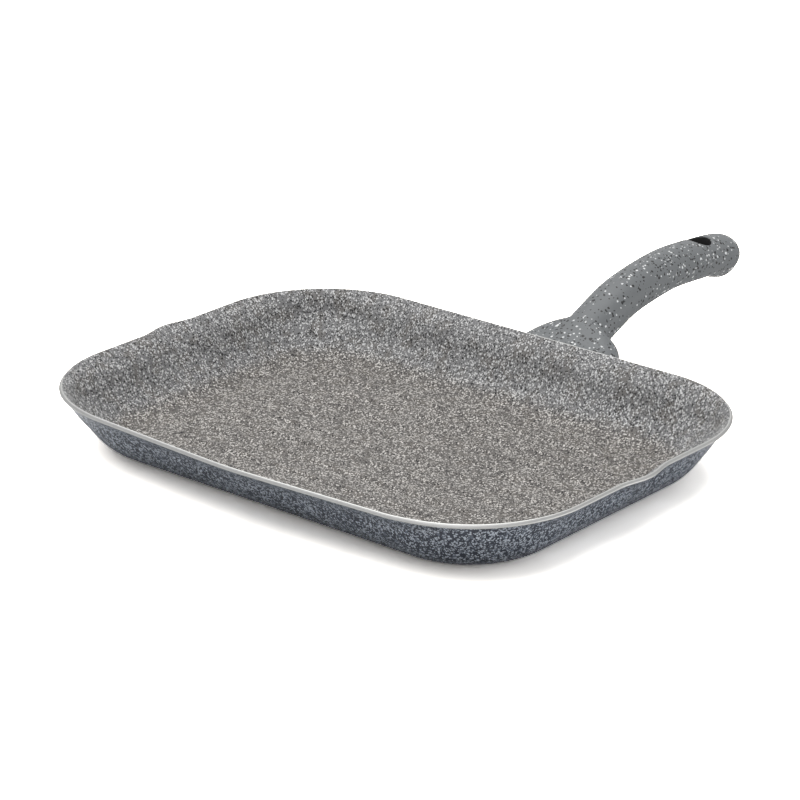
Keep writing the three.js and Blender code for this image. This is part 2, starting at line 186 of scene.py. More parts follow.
def pan_mesh():
    """Rings from the floor's edge up the inside, over the rim and down the outside, then the two floors."""
    pan = bmesh.new()
    turn = pan.verts.layers.float.new("turn")
    steps = 4 * (HALF_SHORT_STEPS + CORNER_STEPS + HALF_LONG_STEPS)
    start = bmesh.ops.create_circle(pan, radius=1, segments=steps)["verts"]
    for vert in start:
        vert[turn] = math.atan2(vert.co.y, vert.co.x)

    def place(verts, inset, drop):
        for vert in verts:
            spot = outline_spot(vert[turn], inset, drop)
            spot += pour_shift(spot, drop)
            vert.co = (spot.x, spot.y, rim_top - drop)

    inner = wall_line()
    outer = offset_line(inner, SHEET)
    rings = [(point, INSIDE) for point in reversed(inner)]
    rings += [(outer[0], BARE)]
    rings += [(point, OUTSIDE) for point in outer[1:]]
    place(start, *rings[0][0])
    foot_edges = list(pan.edges)
    last_edges = foot_edges
    rim_edges = []
    for point, finish in rings[1:]:
        before = set(pan.faces)
        made = bmesh.ops.extrude_edge_only(pan, edges=last_edges)
        place(new_verts(made), *point)
        last_edges = [edge for edge in new_edges(made) if edge.is_boundary]
        for face in set(pan.faces) - before:
            face.material_index = finish
        if point in (inner[0], outer[0]):
            rim_edges += last_edges
    bmesh.ops.edgeloop_fill(pan, edges=last_edges, mat_nr=OUTSIDE)
    for vert in new_verts(bmesh.ops.extrude_edge_only(pan, edges=foot_edges)):
        spot = panel_spot(vert[turn])
        vert.co = (spot.x, spot.y, pan_low.z + SHEET)
    size = Matrix.Diagonal((*FLOOR_PANEL, 1, 1))
    panel = bmesh.ops.create_grid(
        pan,
        x_segments=2 * HALF_LONG_STEPS + CORNER_STEPS,
        y_segments=2 * HALF_SHORT_STEPS + CORNER_STEPS,
        size=0.5,
        matrix=size,
    )["verts"]
    for vert in panel:
        vert.co.z = pan_low.z + SHEET + rib_rise(vert.co.x, vert.co.y)
    bmesh.ops.remove_doubles(pan, verts=pan.verts, dist=MERGE_DISTANCE)
    rounded = bmesh.ops.bevel(
        pan,
        geom=rim_edges,
        offset=RIM_ROUND,
        affect="EDGES",
        segments=RIM_ROUND_STEPS,
        profile=0.5,
        material=-1,
    )
    # The rim's rounded edges take a brighter metal: partly burnish, partly a painted highlight where they
    # catch the light.
    for face in rounded["faces"]:
        face.material_index = BURNISHED_HIGHLIGHT
    bmesh.ops.recalc_face_normals(pan, faces=pan.faces)
    return pan


def add_node(tree, kind, inputs=None, **settings):
    """A shader node with its inputs set or linked."""
    made = tree.nodes.new(kind)
    for name, value in settings.items():
        setattr(made, name, value)
    for socket, value in (inputs or {}).items():
        if isinstance(value, bpy.types.NodeSocket):
            tree.links.new(value, made.inputs[socket])
        else:
            made.inputs[socket].default_value = value
    return made


def reckon(tree, operation, first, second=0.0, third=0.0):
    """A number worked out by a Math node."""
    values = {0: first, 1: second, 2: third}
    return add_node(tree, "ShaderNodeMath", values, operation=operation).outputs[0]


def ramp(tree, value, start, end, low=0.0, high=1.0):
    """A smooth step of a value, from low before start to high after end."""
    limits = {"Value": value, "From Min": start, "From Max": end, "To Min": low, "To Max": high}
    return add_node(tree, "ShaderNodeMapRange", limits, interpolation_type="SMOOTHSTEP").outputs[0]


def lay_over(tree, mask, below, above):
    """One colour laid over another where the mask is 1."""
    mix = add_node(tree, "ShaderNodeMix", {0: mask, 6: below, 7: above}, data_type="RGBA")
    return mix.outputs[2]


def shade(red, green, blue):
    """A colour as it shows on a display, 0 to 255, as the linear colour that a shader takes."""
    parts = [part / 255 for part in (red, green, blue)]
    linear = [part / 12.92 if part <= 0.04045 else ((part + 0.055) / 1.055) ** 2.4 for part in parts]
    return (*linear, 1)


def new_group(name, inputs, outputs):
    """A shader node group with its named sockets, and their ends inside it."""
    group = bpy.data.node_groups.new(name, "ShaderNodeTree")
    for label, kind in inputs.items():
        group.interface.new_socket(label, in_out="INPUT", socket_type=kind)
    for label, kind in outputs.items():
        group.interface.new_socket(label, in_out="OUTPUT", socket_type=kind)
    return group, group.nodes.new("NodeGroupInput").outputs, group.nodes.new("NodeGroupOutput").inputs


# Scale of the tears in a fleck's edge, in spacings; a fleck's size from smallest, and the spread above it,
# as shares of the radius; and the share of a fleck that is solid before its edge fades.
TEAR_SCALE = 1.3
SMALLEST_FLECK = 0.6
FLECK_SPREAD = 0.8
FLECK_CORE = 0.9


def fleck_group():
    """Flecks spattered at random: a spacing in metres, their radius and raggedness as shares of it, and
    the share of places that hold one."""
    kinds = {"Vector": "NodeSocketVector"}
    kinds |= {label: "NodeSocketFloat" for label in ("Spacing", "Radius", "Ragged", "Share")}
    group, given, out = new_group("spattered_flecks", kinds, {"Mask": "NodeSocketFloat"})
    per_metre = reckon(group, "DIVIDE", 1.0, given["Spacing"])
    spot = add_node(group, "ShaderNodeVectorMath", {0: given["Vector"]}, operation="SCALE")
    group.links.new(per_metre, spot.inputs["Scale"])
    tear = {"Vector": spot.outputs[0], "Scale": TEAR_SCALE, "Detail": 1.0}
    torn = add_node(group, "ShaderNodeTexNoise", tear)
    both_ways = {0: torn.outputs["Color"], 1: (0.5, 0.5, 0.5)}
    middle = add_node(group, "ShaderNodeVectorMath", both_ways, operation="SUBTRACT")
    pull = add_node(group, "ShaderNodeVectorMath", {0: middle.outputs[0]}, operation="SCALE")
    group.links.new(given["Ragged"], pull.inputs["Scale"])
    pulled = {0: spot.outputs[0], 1: pull.outputs[0]}
    moved = add_node(group, "ShaderNodeVectorMath", pulled, operation="ADD")
    cells = add_node(group, "ShaderNodeTexVoronoi", {"Vector": moved.outputs[0], "Scale": 1.0})
    chance = add_node(group, "ShaderNodeSeparateColor", {0: cells.outputs["Color"]})
    fleck_size = reckon(group, "MULTIPLY_ADD", chance.outputs[1], FLECK_SPREAD, SMALLEST_FLECK)
    outer = reckon(group, "MULTIPLY", given["Radius"], fleck_size)
    inner = reckon(group, "MULTIPLY", outer, FLECK_CORE)
    body = ramp(group, cells.outputs["Distance"], inner, outer, low=1.0, high=0.0)
    held = reckon(group, "LESS_THAN", chance.outputs[0], given["Share"])
    group.links.new(reckon(group, "MULTIPLY", body, held), out["Mask"])
    return group


flecks = fleck_group()


def fleck_mask(tree, where, seed, stretch=1.0, **values):
    """One layer of flecks, moved by a seed so that no two layers coincide, and stretched upwards."""
    place = {"Vector": where, "Location": (seed, seed / 2, -seed), "Scale": (1, 1, 1 / stretch)}
    moved = add_node(tree, "ShaderNodeMapping", place)
    layer = add_node(tree, "ShaderNodeGroup", {"Vector": moved.outputs[0]} | values, node_tree=flecks)
    return layer.outputs["Mask"]


def new_material(name):
    """A material, its node tree, its shader, and the place on the piece."""
    material = bpy.data.materials.new(name)
    material.use_nodes = True
    tree = material.node_tree
    principled = tree.nodes["Principled BSDF"]
    coordinates = add_node(tree, "ShaderNodeTexCoord").outputs["Object"]
    return material, tree, principled, coordinates


def raise_surface(tree, principled, height, depth):
    """A fine relief, the given depth in metres where the height is 1."""
    bump = add_node(tree, "ShaderNodeBump", {"Height": height, "Strength": 1.0, "Distance": depth})
    tree.links.new(bump.outputs[0], principled.inputs["Normal"])


def inside_coat():
    """Matt stone-effect coat: browner on the floor, greyer up the wall, with dark and pale flecks."""
    material, tree, principled, where = new_material("stone_coat")
    height = add_node(tree, "ShaderNodeSeparateXYZ", {0: where}).outputs[2]
    up_wall = ramp(tree, height, start=4 * MM, end=11 * MM)
    cloud = add_node(tree, "ShaderNodeTexNoise", {"Vector": where, "Scale": 110.0, "Detail": 2.0}).outputs
    tint = add_node(tree, "ShaderNodeSeparateColor", {0: cloud["Color"]}).outputs
    ground = lay_over(tree, up_wall, shade(109, 106, 103), shade(134, 134, 135))
    brown_share = ramp(tree, tint[1], start=0.45, end=0.65, low=0.0, high=0.5)
    browned = lay_over(tree, brown_share, ground, shade(118, 113, 107))
    crowd = ramp(tree, cloud[0], start=0.36, end=0.56, low=0.46, high=0.62)
    dark = fleck_mask(
        tree, where, seed=0.31, stretch=1.3, Spacing=0.92 * MM, Radius=0.45, Ragged=0.8, Share=0.6
    )
    light = fleck_mask(
        tree, where, seed=0.73, stretch=1.6, Spacing=0.98 * MM, Radius=0.45, Ragged=1.0, Share=crowd
    )
    deep = lay_over(tree, up_wall, shade(16, 15, 15), shade(32, 32, 33))
    darkened = lay_over(tree, dark, browned, deep)
    pale = lay_over(tree, up_wall, shade(220, 216, 211), shade(224, 224, 224))
    tree.links.new(lay_over(tree, light, darkened, pale), principled.inputs["Base Color"])
    rough = ramp(tree, light, start=0.0, end=1.0, low=0.55, high=0.45)
    tree.links.new(rough, principled.inputs["Roughness"])
    principled.inputs["Specular IOR Level"].default_value = 0.25
    raise_surface(tree, principled, light, depth=0.02 * MM)
    return material


def bare_metal(name, dull, bright):
    """Aluminium left bare, with a fine grain between two tones."""
    material, tree, principled, where = new_material(name)
    grain = add_node(tree, "ShaderNodeTexNoise", {"Vector": where, "Scale": 900.0, "Detail": 2.0})
    tone = lay_over(tree, grain.outputs[0], dull, bright)
    tree.links.new(tone, principled.inputs["Base Color"])
    rough = ramp(tree, grain.outputs[0], start=0.3, end=0.7, low=0.35, high=0.5)
    tree.links.new(rough, principled.inputs["Roughness"])
    principled.inputs["Metallic"].default_value = 1.0
    return material


def outside_enamel():
    """Dark blue-grey enamel with pale flecks over a haze, clear gloss on top, painted paler at the heel as a
    painted reflection of the white floor.
    """
    material, tree, principled, where = new_material("speckled_enamel")
    cloud = add_node(tree, "ShaderNodeTexNoise", {"Vector": where, "Scale": 60.0, "Detail": 3.0}).outputs[0]
    clouded = ramp(tree, cloud, start=0.35, end=0.65)
    ground = lay_over(tree, clouded, shade(50, 56, 67), shade(65, 71, 82))
    haze = fleck_mask(
        tree, where, seed=0.17, stretch=1.5, Spacing=2.2 * MM, Radius=0.5, Ragged=0.9, Share=0.4
    )
    light = fleck_mask(
        tree, where, seed=0.57, stretch=1.5, Spacing=1.15 * MM, Radius=0.47, Ragged=1.1, Share=0.74
    )
    hazed = lay_over(tree, haze, ground, shade(104, 111, 123))
    flecked = lay_over(tree, light, hazed, shade(196, 203, 213))
    height = add_node(tree, "ShaderNodeSeparateXYZ", {0: where}).outputs[2]
    # Paler towards the heel: a painted reflection of the white floor that the heel's curve would catch.
    heel_floor_reflection = ramp(tree, height, start=1 * MM, end=8 * MM, low=0.3, high=0.0)
    colour = lay_over(tree, heel_floor_reflection, flecked, shade(150, 154, 165))
    tree.links.new(colour, principled.inputs["Base Color"])
    rough = ramp(tree, light, start=0.0, end=1.0, low=0.4, high=0.5)
    tree.links.new(rough, principled.inputs["Roughness"])
    principled.inputs["Specular IOR Level"].default_value = 0.1
    principled.inputs["Coat Weight"].default_value = 0.7
    principled.inputs["Coat Roughness"].default_value = 0.12
    raise_surface(tree, principled, cloud, depth=0.05 * MM)
    return material


def finished_piece(name, shape, finishes):
    """A shape made an object with its finishes, riding on the part's one body."""
    mesh = bpy.data.meshes.new(name)
    for face in shape.faces:
        face.smooth = True
    shape.to_mesh(mesh)
    shape.free()
    mesh.set_sharp_from_angle(angle=SHARP_ANGLE)
    for finish in finishes:
        mesh.materials.append(finish)
    piece = bpy.data.objects.new(name, mesh)
    bpy.context.scene.collection.objects.link(piece)
    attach(piece, "root")
    return piece


cut_rim = bare_metal("cut_rim", shade(150, 150, 149), shade(172, 172, 171))
# Brighter metal for the rim's rounded edges: partly burnish, partly a painted highlight.
burnished_highlight_edge = bare_metal("burnished_highlight_edge", shade(173, 173, 171), shade(195, 195, 193))
pan_body = finished_piece(
    "pan_body_pressing",
    pan_mesh(),
    [inside_coat(), cut_rim, outside_enamel(), burnished_highlight_edge],
)
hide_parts("pan_body")


# Bracket, weld studs and nut
# A stamped steel plate on the outer wall, whose tongue reaches into the handle. Two aluminium studs,
# welded to the wall and headed over, hold the plate. A square nut lies on the tongue.
DRAG_PER_METRE = (900.0, 140.0, 900.0)
DRAG_ROUGHNESS = 0.15


def drawn_metal(name, colour, worn, roughness):
    """Plain metal with the fine drag lines and cloudy tone of drawn stock."""
    material, tree, principled, where = new_material(name)
    stretched = add_node(tree, "ShaderNodeMapping", {"Vector": where, "Scale": DRAG_PER_METRE}).outputs[0]
    lines = {"Vector": stretched, "Scale": 1.0, "Detail": 3.0}
    drag = add_node(tree, "ShaderNodeTexNoise", lines).outputs[0]
    tone = lay_over(tree, ramp(tree, drag, start=0.3, end=0.7), colour, worn)
    tree.links.new(tone, principled.inputs["Base Color"])
    rough = ramp(tree, drag, start=0.3, end=0.7, low=roughness, high=roughness + DRAG_ROUGHNESS)
    tree.links.new(rough, principled.inputs["Roughness"])
    raise_surface(tree, principled, drag, depth=0.02 * MM)
    principled.inputs["Metallic"].default_value = 1.0
    return material


plated_steel = drawn_metal("plated_steel", shade(178, 178, 181), shade(150, 150, 152), roughness=0.32)
stud_metal = drawn_metal("stud_aluminium", shade(214, 214, 216), shade(190, 190, 192), roughness=0.4)
bright_plate = drawn_metal("bright_plate", shade(205, 205, 207), shade(176, 176, 178), roughness=0.22)
hidden_fixings = {
    "handle_bracket": plated_steel,
    "weld_stud_left": stud_metal,
    "weld_stud_right": stud_metal,
    "tongue_nut": bright_plate,
}
for node, finish in hidden_fixings.items():
    for material_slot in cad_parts[node].material_slots:
        material_slot.material = finish


# Handle
# One heat-proof black moulding under satin grey lacquer that is flecked in black and white: a bolster
# that hugs the wall, a neck, and an arched grip with a hang hole. The tongue fills its socket.
GAP = 0.3 * MM
BOLSTER_WIDTH = 74.4 * MM
BOLSTER_HEIGHT = 18.6 * MM
BOLSTER_DROP = 17.8 * MM
DOME_START = 23.8 * MM
DOME_END = 51.4 * MM
DOME_POWER = 2.5
NECK_POWER = 5
DEEPEN_START = 10 * MM
DEEPEN_END = 51.6 * MM
GRIP_WIDTH = 29.2 * MM
GRIP_HEIGHT = 26.5 * MM
ROOT_DEPTH = 10 * MM
# Reach beyond the far rim and rise above it, in millimetres, of stations along the handle's middle.
GRIP_AXIS = (
    (30, -21.5),
    (57, -10.3),
    (83, -0.1),
    (106, 4.3),
    (132, 6.8),
    (152, 6.1),
    (172, 4.4),
    (192, 1.2),
)
TIP_AXIS = (200.6, -4.6)
AXIS_STEPS = 24
TIP_LENGTH = 12 * MM
HEEL_LENGTH = 30 * MM
HEEL_SWELL = 1.8 * MM
SEAT_REACH = -4 * MM
HANG_REACH = 167.5 * MM
HANG_DIAMETER = 17 * MM
HANG_ROUND = 0.9 * MM
HANG_MARGIN = 2.2 * MM
HANG_PATCH = 13.5 * MM
SEAT_RINGS = 4
SECTION_STEPS = 64
PATCH_STEPS = 9
RING_STEP = 2 * MM
TIP_STEPS = 10
ROUND_STEPS = 4
SLIVER = 0.03 * MM
SOCKET_SIDE = 4 * MM
SOCKET_DROP = 3 * MM
SOCKET_INWARDS = 20 * MM
POCKET_INWARDS = 30 * MM
HOLE_BOTTOM = -10 * MM
HOLE_STEPS = 48
SCREW_WAY = 1.2
DARK_PER_PALE = 1.1
LEAST_DARK = 0.1
LACQUERED, MOULDED = range(2)


def handle_axis():
    """Points along the middle of the handle, from inside the wall out to the tip."""
    root = [(-(WALL_INSET + ROOT_DEPTH) / MM, -BOLSTER_DROP / MM), (0, -BOLSTER_DROP / MM)]
    reaches = [*root, *GRIP_AXIS, TIP_AXIS]
    stations = [Vector((0, far_rim + reach * MM, rim_top + rise * MM)) for reach, rise in reaches]
    ends = [2 * stations[0] - stations[1], *stations, 2 * stations[-1] - stations[-2]]
    line = [stations[0]]
    for before, start, end, after in zip(ends, ends[1:], ends[2:], ends[3:]):
        first, span, last = (
            math.sqrt((b - a).length) for a, b in ((before, start), (start, end), (end, after))
        )
        leave = (start - before) / first - (end - before) / (first + span) + (end - start) / span
        arrive = (end - start) / span - (after - start) / (span + last) + (after - end) / last
        pull = span / 3
        bends = (start + leave * pull, end - arrive * pull)
        line += interpolate_bezier(start, *bends, end, AXIS_STEPS + 1)[1:]
    return line


axis_points = handle_axis()
axis_lengths = [0.0]
for here, there in zip(axis_points, axis_points[1:]):
    axis_lengths.append(axis_lengths[-1] + (there - here).length)
axis_length = axis_lengths[-1]


def axis_spot(length):
    """Place on the axis at a length along it."""
    step = min(max(bisect.bisect(axis_lengths, length), 1), len(axis_points) - 1)
    share = (length - axis_lengths[step - 1]) / (axis_lengths[step] - axis_lengths[step - 1])
    return axis_points[step - 1].lerp(axis_points[step], share)


def length_at(reach):
    """Length along the axis at which it has come out to a reach beyond the far rim."""
    step = bisect.bisect([point.y for point in axis_points], far_rim + reach)
    start, end = axis_points[step - 1], axis_points[step]
    return axis_lengths[step - 1] + (far_rim + reach - start.y) / (end.y - start.y) * (end - start).length


def handle_section(length):
    """Middle, direction, half width, and half heights above and below, of the handle's section."""
    centre = axis_spot(length)
    along = (axis_spot(length + MM) - axis_spot(length - MM)).normalized()
    reach = centre.y - far_rim
    dome_share = min(max((reach - DOME_START) / (DOME_END - DOME_START), 0), 1)
    dome_width = BOLSTER_WIDTH * (1 - dome_share ** DOME_POWER) ** (1 / DOME_POWER)
    half_width = (dome_width ** NECK_POWER + GRIP_WIDTH ** NECK_POWER) ** (1 / NECK_POWER) / 2
    deepen = smooth_rise(reach, DEEPEN_START, DEEPEN_END)
    half_height = (BOLSTER_HEIGHT + (GRIP_HEIGHT - BOLSTER_HEIGHT) * deepen) / 2
    tip_reach = TIP_AXIS[0] * MM
    swell = HEEL_SWELL * smooth_rise(reach, tip_reach - HEEL_LENGTH, tip_reach - TIP_LENGTH)
    return centre, along, half_width, half_height, half_height + swell


def section_spot(around, length, shrink):
    """Place on the skin, at a turn around the section that lies at a length along the axis."""
    centre, along, half_width, above, below = handle_section(length)
    side = half_width * shrink * math.cos(around)
    lift = (above if math.sin(around) > 0 else below) * shrink * math.sin(around)
    return Vector((side, centre.y - lift * along.z, centre.z + lift * along.y))


def seat_y(z):
    """The far wall's outer face, with a hair's gap, at a height."""
    line = offset_line(wall_line(), SHEET + GAP)
    step = bisect.bisect([point.y for point in line], rim_top - z)
    start, end = line[step - 1], line[step]
    share = (rim_top - z - start.y) / (end.y - start.y)
    return far_rim - start.lerp(end, share).x


def skin_height(x, y, side):
    """Height of the handle's skin over or under a place on the grip."""
    centre, along, half_width, above, below = handle_section(length_at(y - far_rim))
    rise = (above if side > 0 else -below) / along.y
    return centre.z + rise * math.sqrt(1 - (x / half_width) ** 2)


def hang_edge(x, y, out):
    """The place on the hang hole's outline, moved out by a distance, that lies nearest to a place."""
    middle = Vector((0, far_rim + HANG_REACH))
    return middle + (Vector((x, y)) - middle).normalized() * (HANG_DIAMETER / 2 + out)


def handle_mesh():
    """Sections along the axis from the wall to the tip, then the hang hole through the grip."""
    shape = bmesh.new()
    around = shape.verts.layers.float.new("around")
    reach = shape.verts.layers.float.new("reach")
    start = bmesh.ops.create_circle(shape, radius=1, segments=SECTION_STEPS)["verts"]
    for vert in start:
        vert[around] = math.atan2(vert.co.y, vert.co.x)

    def place(verts, length, shrink):
        for vert in verts:
            vert.co = section_spot(vert[around], length, shrink)
            vert[reach] = axis_spot(length).y - far_rim

    seat_edges = list(shape.edges)
    seat_length = length_at(SEAT_REACH)
    edges = seat_edges
    verts = start
    for ring in range(SEAT_RINGS + 1):
        if ring > 0:
            made = bmesh.ops.extrude_edge_only(shape, edges=edges)
            verts = new_verts(made)
            edges = [edge for edge in new_edges(made) if edge.is_boundary]
        place(verts, seat_length, 1 - ring / SEAT_RINGS)
        for vert in verts:
            vert.co.y = seat_y(vert.co.z)
    for face in shape.faces:
        face.material_index = MOULDED

    straight_end = axis_length - TIP_LENGTH
    count = round((straight_end - seat_length) / RING_STEP)
    rings = [(seat_length + (straight_end - seat_length) * step / count, 1) for step in range(count + 1)]
    for step in range(1, TIP_STEPS + 1):
        turn = math.pi / 2 * step / TIP_STEPS
        rings.append((straight_end + TIP_LENGTH * math.sin(turn), math.cos(turn)))
    edges = seat_edges
    for length, shrink in rings:
        made = bmesh.ops.extrude_edge_only(shape, edges=edges)
        place(new_verts(made), length, shrink)
        new_faces = {face for vert in new_verts(made) for face in vert.link_faces}
        for face in new_faces:
            face.material_index = LACQUERED
        edges = [edge for edge in new_edges(made) if edge.is_boundary]
    bmesh.ops.remove_doubles(shape, verts=shape.verts, dist=MERGE_DISTANCE)

    def in_patch(vert, side):
        turn = abs(vert[around] - side * math.pi / 2)
        near = abs(vert[reach] - HANG_REACH) < HANG_PATCH
        return near and turn < (PATCH_STEPS + 0.5) * 2 * math.pi / SECTION_STEPS

    edge_steps = [(HANG_MARGIN, 0)]
    for step in range(ROUND_STEPS + 1):
        turn = math.pi / 2 * step / ROUND_STEPS
        edge_steps.append((HANG_ROUND * (1 - math.sin(turn)), HANG_ROUND * (1 - math.cos(turn))))
    hole_edges = []
    for side in (1, -1):
        patch = [face for face in shape.faces if all(in_patch(vert, side) for vert in face.verts)]
        bmesh.ops.delete(shape, geom=patch, context="FACES")
        edges = [edge for edge in shape.edges if edge.is_boundary and edge not in hole_edges]
        for out, down in edge_steps:
            made = bmesh.ops.extrude_edge_only(shape, edges=edges)
            for vert in new_verts(made):
                spot = hang_edge(vert.co.x, vert.co.y, out)
                vert.co = (spot.x, spot.y, skin_height(spot.x, spot.y, side) - side * down)
            edges = [edge for edge in new_edges(made) if edge.is_boundary]
        hole_edges += edges
    bore = bmesh.ops.bridge_loops(shape, edges=hole_edges)
    for face in bore["faces"]:
        face.material_index = MOULDED
    bmesh.ops.recalc_face_normals(shape, faces=shape.faces)
    return shape


def put_in_order(shape):
    """Sorts a shape's parts by place, because operators don't make them in the same order each run."""
    sort_line = Vector((1, math.sqrt(2), math.sqrt(3)))
    shape.verts.sort(key=lambda vert: vert.co.dot(sort_line))
    shape.edges.sort(key=lambda edge: sum(vert.co.dot(sort_line) for vert in edge.verts))
    shape.faces.sort(key=lambda face: face.calc_center_median().dot(sort_line))
    for parts in (shape.verts, shape.edges, shape.faces):
        parts.index_update()


def carve(shape, cutters):
    """Cuts closed shapes out of a closed shape, and clears the slivers that the cuts leave."""
    pieces = []
    for part in (shape, *cutters):
        mesh = bpy.data.meshes.new("carving")
        put_in_order(part)
        part.to_mesh(mesh)
        part.free()
        # Two empty slots, so that the cut faces keep the number of their finish.
        mesh.materials.append(None)
        mesh.materials.append(None)
        pieces.append(bpy.data.objects.new("carving", mesh))
        bpy.context.scene.collection.objects.link(pieces[-1])
    for cutter in pieces[1:]:
        cut = pieces[0].modifiers.new("cut", "BOOLEAN")
        cut.object = cutter
        cut.solver = "EXACT"
    result = bmesh.new()
    result.from_object(pieces[0], bpy.context.evaluated_depsgraph_get())
    put_in_order(result)
    many_sided = [face for face in result.faces if len(face.verts) > 4]
    bmesh.ops.triangulate(result, faces=many_sided, ngon_method="BEAUTY")
    bmesh.ops.dissolve_degenerate(result, dist=SLIVER, edges=result.edges)
    for piece in pieces:
        bpy.data.meshes.remove(piece.data)
    return result


def block(low, high, finish):
    """A box between two corners."""
    shape = bmesh.new()
    middle = Matrix.Translation((Vector(low) + Vector(high)) / 2)
    size = Matrix.Diagonal((*(Vector(high) - Vector(low)), 1))
    bmesh.ops.create_cube(shape, size=1, matrix=middle @ size)
    for face in shape.faces:
        face.material_index = finish
    return shape


def round_hole(diameter, y, top, finish):
    """An upright cylinder that cuts a hole from below, up to a height."""
    shape = bmesh.new()
    bmesh.ops.create_cone(
        shape,
        cap_ends=True,
        segments=HOLE_STEPS,
        radius1=diameter / 2,
        radius2=diameter / 2,
        depth=top - HOLE_BOTTOM,
        matrix=Matrix.Translation((0, y, (HOLE_BOTTOM + top) / 2)),
    )
    for face in shape.faces:
        face.material_index = finish
    return shape


def lacquer():
    """Satin grey with fine and coarse flecks in black and white, fewer on the neck than on the grip."""
    material, tree, principled, where = new_material("flecked_lacquer")
    y = add_node(tree, "ShaderNodeSeparateXYZ", {0: where}).outputs[1]
    reach = reckon(tree, "SUBTRACT", y, far_rim)
    near_wall = ramp(tree, reach, start=40 * MM, end=58 * MM, low=0.11, high=0.05)
    on_grip = ramp(tree, reach, start=55 * MM, end=105 * MM, low=0.0, high=0.16)
    pale_share = reckon(tree, "MAXIMUM", near_wall, on_grip)
    dark_share = reckon(tree, "MULTIPLY_ADD", pale_share, DARK_PER_PALE, LEAST_DARK)
    cloud = add_node(tree, "ShaderNodeTexNoise", {"Vector": where, "Scale": 70.0, "Detail": 4.0}).outputs[0]
    ground = lay_over(tree, cloud, shade(107, 110, 112), shade(116, 119, 121))
    fine_dark = fleck_mask(
        tree, where, seed=0.11, Spacing=1.7 * MM, Radius=0.4, Ragged=0.6, Share=dark_share
    )
    fine_pale = fleck_mask(
        tree, where, seed=0.43, Spacing=1.6 * MM, Radius=0.38, Ragged=0.5, Share=pale_share
    )
    dark = fleck_mask(tree, where, seed=0.29, Spacing=2.8 * MM, Radius=0.3, Ragged=0.9, Share=dark_share)
    pale = fleck_mask(tree, where, seed=0.83, Spacing=3.1 * MM, Radius=0.28, Ragged=0.6, Share=pale_share)
    colour = lay_over(tree, fine_dark, ground, shade(8, 8, 9))
    colour = lay_over(tree, fine_pale, colour, shade(228, 230, 230))
    colour = lay_over(tree, dark, colour, shade(8, 8, 9))
    colour = lay_over(tree, pale, colour, shade(240, 241, 241))
    tree.links.new(colour, principled.inputs["Base Color"])
    rough = ramp(tree, cloud, start=0.3, end=0.7, low=0.42, high=0.5)
    tree.links.new(rough, principled.inputs["Roughness"])
    raise_surface(tree, principled, cloud, depth=0.03 * MM)
    return material


def moulding():
    """The black moulding itself, where the lacquer leaves it bare: seat, bore and holes."""
    material, tree, principled, where = new_material("black_moulding")
    grain = add_node(tree, "ShaderNodeTexNoise", {"Vector": where, "Scale": 700.0, "Detail": 3.0}).outputs[0]
    tone = lay_over(tree, grain, shade(18, 18, 19), shade(34, 34, 35))
    tree.links.new(tone, principled.inputs["Base Color"])
    rough = ramp(tree, grain, start=0.3, end=0.7, low=0.5, high=0.65)
    tree.links.new(rough, principled.inputs["Roughness"])
    raise_surface(tree, principled, grain, depth=0.04 * MM)
    return material


bracket_low, bracket_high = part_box("handle_bracket")
stud_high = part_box("weld_stud_left")[1]
nut_low, nut_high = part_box("tongue_nut")
screw_low, screw_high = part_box("handle_screw")
washer_low, washer_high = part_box("handle_washer")
screw_y = (washer_low.y + washer_high.y) / 2
socket = block(
    (nut_low.x - SOCKET_SIDE - GAP, far_rim - SOCKET_INWARDS, nut_low.z - SOCKET_DROP - 2 * GAP),
    (nut_high.x + SOCKET_SIDE + GAP, bracket_high.y + GAP, screw_high.z + GAP),
    MOULDED,
)
pocket = block(
    (bracket_low.x - GAP, far_rim - POCKET_INWARDS, bracket_low.z - GAP),
    (bracket_high.x + GAP, stud_high.y + GAP, bracket_high.z + GAP),
    MOULDED,
)
counterbore = round_hole(washer_high.x * 2 + 2 * GAP, screw_y, washer_high.z + GAP, MOULDED)
screw_way = round_hole(screw_high.x * SCREW_WAY, screw_y, nut_low.z, MOULDED)
handle = finished_piece(
    "handle_moulding",
    carve(handle_mesh(), [socket, pocket, counterbore, screw_way]),
    [lacquer(), moulding()],
)
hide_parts("handle")


# Screw and washer
# A plated steel screw with a rounded head and a cross recess, driven up from below through a plated washer
# in the handle's counterbore, the tongue and the nut. Both are turned.
HEAD_HEIGHT = 2.8 * MM
SCREW_RADIUS = 2 * MM
RECESS_LENGTH = 4.2 * MM
RECESS_WIDTH = 1 * MM
RECESS_DEPTH = 1.6 * MM
THREAD_PITCH = 0.7 * MM
THREAD_DEPTH = 0.35 * MM
THREAD_FOOT = 0.25
THREAD_CREST = 0.75
WASHER_ROUND = 0.15 * MM
TURNED_STEPS = 64
TURNED_MERGE = 0.001 * MM
# The head's rounded outline from its crown, which faces down, as shares of its radius and its height.
HEAD_ROUND = ((0, 0), (0.55, 0), (0.82, 0.12), (0.96, 0.35), (1, 0.65), (1, 1))


def turned(outline):
    """A shape turned about the screw's line from an outline of (radius, height)."""
    shape = bmesh.new()
    verts = [shape.verts.new((radius, screw_y, height)) for radius, height in outline]
    edges = [shape.edges.new(ends) for ends in zip(verts, verts[1:])]
    bmesh.ops.spin(
        shape,
        geom=verts + edges,
        cent=(0, screw_y, 0),
        axis=(0, 0, 1),
        angle=2 * math.pi,
        steps=TURNED_STEPS,
        use_merge=True,
    )
    bmesh.ops.remove_doubles(shape, verts=shape.verts, dist=TURNED_MERGE)
    bmesh.ops.recalc_face_normals(shape, faces=shape.faces)
    return shape


